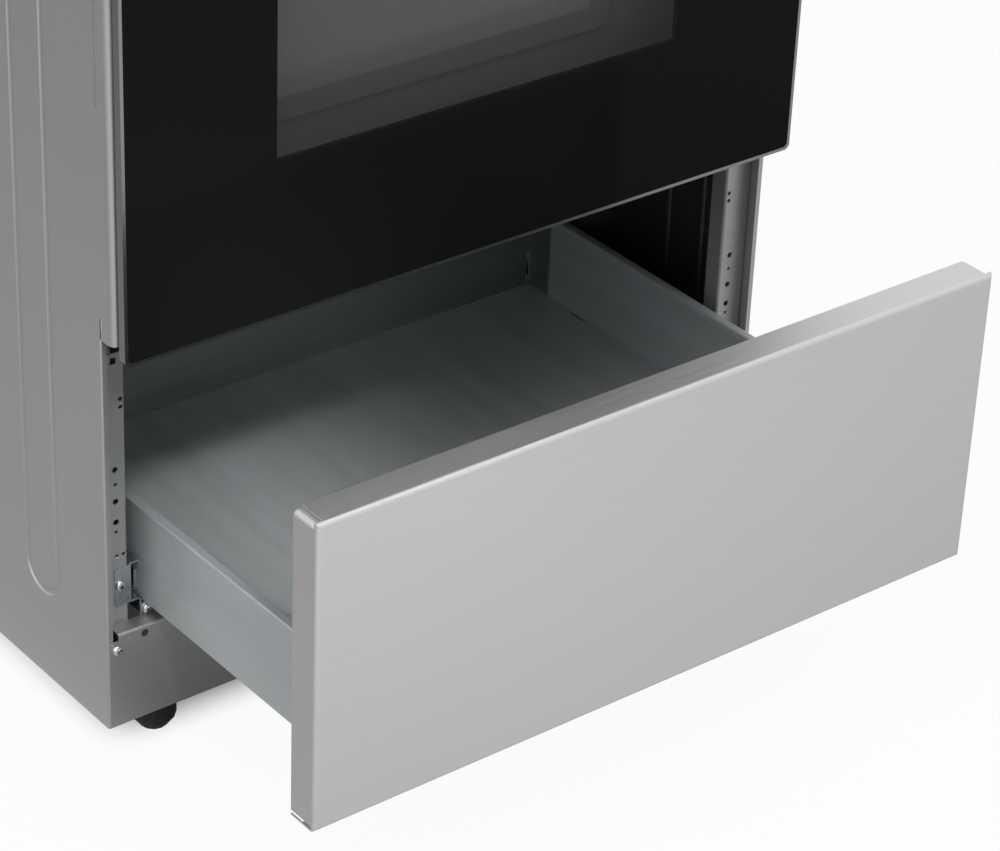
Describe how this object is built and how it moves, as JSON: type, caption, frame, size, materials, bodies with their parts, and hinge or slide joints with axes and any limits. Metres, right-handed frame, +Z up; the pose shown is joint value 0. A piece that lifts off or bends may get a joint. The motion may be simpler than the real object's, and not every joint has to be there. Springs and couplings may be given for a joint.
{
  "type": "freestanding gas range",
  "caption": "Freestanding gas range: hob with pan supports, control panel, glazed drop-down oven door and a storage drawer pulled out below, in a grey steel cabinet.",
  "frame": {"origin": "floor level, under the middle of the cabinet's footprint from the door's face to the rear edge", "axes": "+X to the right seen from the front, +Y from front to back, +Z up"},
  "size_m": [0.6, 0.846, 0.924],
  "materials": {
    "enamel": "grey enamel, half gloss",
    "plinth_paint": "grey paint, half gloss",
    "stainless": "fine brushed stainless steel",
    "zinc": "galvanised steel",
    "black_steel": "blackened steel",
    "oven_enamel": "black oven enamel, gloss",
    "black_glass": "black-printed glass with a smoked window",
    "clear_glass": "clear heat-proof glass",
    "cast": "matt black enamelled iron",
    "aluminium": "bare aluminium",
    "brass": "bare brass",
    "steel": "plain steel",
    "chrome": "chromed wire",
    "black_plastic": "black plastic",
    "seal_rubber": "dark woven and rubber seal",
    "wool": "glass wool"
  },
  "bodies": {
    "cabinet": {"side_panel_left": "enamel", "side_panel_right": "enamel", "front_posts": "enamel", "plinth": "plinth_paint", "control_panel": "stainless", "hob_top": "stainless", "runner_left": "zinc", "runner_right": "zinc", "back_panel": "zinc", "flue_duct": "zinc", "hinge_brackets": "black_steel", "bay_ceiling": "black_steel", "oven_cavity": "oven_enamel", "oven_front_frame": "oven_enamel", "oven_floor_plate": "oven_enamel", "baking_tray": "oven_enamel", "burner_caps": "oven_enamel", "oven_lamp": "clear_glass", "pan_support_left": "cast", "pan_support_right": "cast", "burner_cups": "aluminium", "burner_crowns": "aluminium", "burner_pipes": "aluminium", "gas_valves": "brass", "gas_inlet": "brass", "gas_manifold": "steel", "oven_burner": "steel", "thermostat_bulb": "steel", "spark_electrodes": "steel", "screws": "steel", "oven_rack": "chrome", "shelf_guides": "chrome", "levelling_feet": "black_plastic", "cable_gland": "black_plastic", "push_switches": "black_plastic", "door_seal": "seal_rubber", "insulation": "wool"},
    "drawer": {"drawer_front": "stainless", "drawer_tray": "zinc", "drawer_back": "zinc", "drawer_rails": "zinc"},
    "door": {"door_trim": "stainless", "door_glass": "black_glass", "door_inner_panel": "oven_enamel", "door_inner_glass": "clear_glass", "door_handle": "aluminium", "handle_posts": "aluminium", "hinge_arms": "black_steel"},
    "spindle_rear_left": {"spindle_rear_left": "steel"},
    "knob_rear_left": {"knob_rear_left": "black_plastic"},
    "spindle_front_left": {"spindle_front_left": "steel"},
    "knob_front_left": {"knob_front_left": "black_plastic"},
    "spindle_oven": {"spindle_oven": "steel"},
    "knob_oven": {"knob_oven": "black_plastic"},
    "spindle_front_right": {"spindle_front_right": "steel"},
    "knob_front_right": {"knob_front_right": "black_plastic"},
    "spindle_rear_right": {"spindle_rear_right": "steel"},
    "knob_rear_right": {"knob_rear_right": "black_plastic"},
    "ignition_button": {"ignition_button": "black_plastic"},
    "lamp_button": {"lamp_button": "black_plastic"}
  },
  "joints": [
    {"name": "drawer_slide", "type": "slide", "parent": "cabinet", "child": "drawer", "axis": [0, -1, 0], "range_m": [-0.222, 0.1]},
    {"name": "door_hinge", "type": "hinge", "parent": "cabinet", "child": "door", "pos_m": [0, -0.287, 0.352], "axis": [1, 0, 0], "range_deg": [0, 90], "stiffness_Nm_per_rad": 8, "springref_deg": -5.73},
    {"name": "spindle_push_rear_left", "type": "slide", "parent": "cabinet", "child": "spindle_rear_left", "axis": [0, 1, 0], "range_m": [0, 0.003], "stiffness_N_per_m": 1500, "springref_m": -0.002},
    {"name": "knob_turn_rear_left", "type": "hinge", "parent": "spindle_rear_left", "child": "knob_rear_left", "pos_m": [-0.172, -0.3045, 0.829], "axis": [0, -1, 0], "range_deg": [0, 210]},
    {"name": "spindle_push_front_left", "type": "slide", "parent": "cabinet", "child": "spindle_front_left", "axis": [0, 1, 0], "range_m": [0, 0.003], "stiffness_N_per_m": 1500, "springref_m": -0.002},
    {"name": "knob_turn_front_left", "type": "hinge", "parent": "spindle_front_left", "child": "knob_front_left", "pos_m": [-0.086, -0.3045, 0.829], "axis": [0, -1, 0], "range_deg": [0, 210]},
    {"name": "spindle_push_oven", "type": "slide", "parent": "cabinet", "child": "spindle_oven", "axis": [0, 1, 0], "range_m": [0, 0.003], "stiffness_N_per_m": 1500, "springref_m": -0.002},
    {"name": "knob_turn_oven", "type": "hinge", "parent": "spindle_oven", "child": "knob_oven", "pos_m": [0, -0.3045, 0.829], "axis": [0, -1, 0], "range_deg": [0, 285]},
    {"name": "spindle_push_front_right", "type": "slide", "parent": "cabinet", "child": "spindle_front_right", "axis": [0, 1, 0], "range_m": [0, 0.003], "stiffness_N_per_m": 1500, "springref_m": -0.002},
    {"name": "knob_turn_front_right", "type": "hinge", "parent": "spindle_front_right", "child": "knob_front_right", "pos_m": [0.086, -0.3045, 0.829], "axis": [0, -1, 0], "range_deg": [0, 210]},
    {"name": "spindle_push_rear_right", "type": "slide", "parent": "cabinet", "child": "spindle_rear_right", "axis": [0, 1, 0], "range_m": [0, 0.003], "stiffness_N_per_m": 1500, "springref_m": -0.002},
    {"name": "knob_turn_rear_right", "type": "hinge", "parent": "spindle_rear_right", "child": "knob_rear_right", "pos_m": [0.172, -0.3045, 0.829], "axis": [0, -1, 0], "range_deg": [0, 210]},
    {"name": "ignition_button_push", "type": "slide", "parent": "cabinet", "child": "ignition_button", "axis": [0, 1, 0], "range_m": [0, 0.003], "stiffness_N_per_m": 800, "springref_m": -0.001},
    {"name": "lamp_button_push", "type": "slide", "parent": "cabinet", "child": "lamp_button", "axis": [0, 1, 0], "range_m": [0, 0.003], "stiffness_N_per_m": 800, "springref_m": -0.001}
  ]
}
